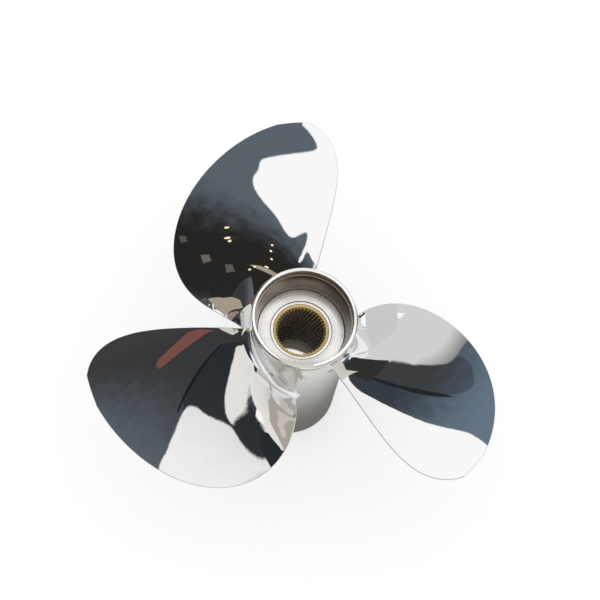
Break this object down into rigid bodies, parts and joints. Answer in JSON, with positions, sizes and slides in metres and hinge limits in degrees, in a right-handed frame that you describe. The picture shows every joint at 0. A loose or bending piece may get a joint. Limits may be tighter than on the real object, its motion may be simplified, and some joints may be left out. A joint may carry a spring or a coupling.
{
  "type": "boat propeller",
  "caption": "Left-hand polished stainless steel boat propeller with broad cupped blades, a flared tube hub and a splined brass sleeve set in rubber.",
  "frame": {"origin": "on the shaft axis at the height of the centre of mass", "axes": "+Z along the shaft axis towards the aft end, where the rim is; the forward end is the base the part stands on"},
  "size_m": [0.3537, 0.3303, 0.178],
  "materials": {
    "mirror_steel": "cast stainless steel, mirror polished",
    "polished_steel": "cast stainless steel, polished",
    "turned_steel": "stainless steel, turned, with fine rings from the tool",
    "brass": "machined brass, broached splines",
    "rubber": "moulded rubber"
  },
  "bodies": {
    "root": {"barrel": "polished_steel", "inner_hub": "turned_steel", "bush_carrier": "turned_steel", "rubber_bush": "rubber", "retaining_ring": "turned_steel", "spline_sleeve": "brass", "blade_1": "mirror_steel", "blade_2": "mirror_steel", "blade_3": "mirror_steel"}
  },
  "joints": []
}
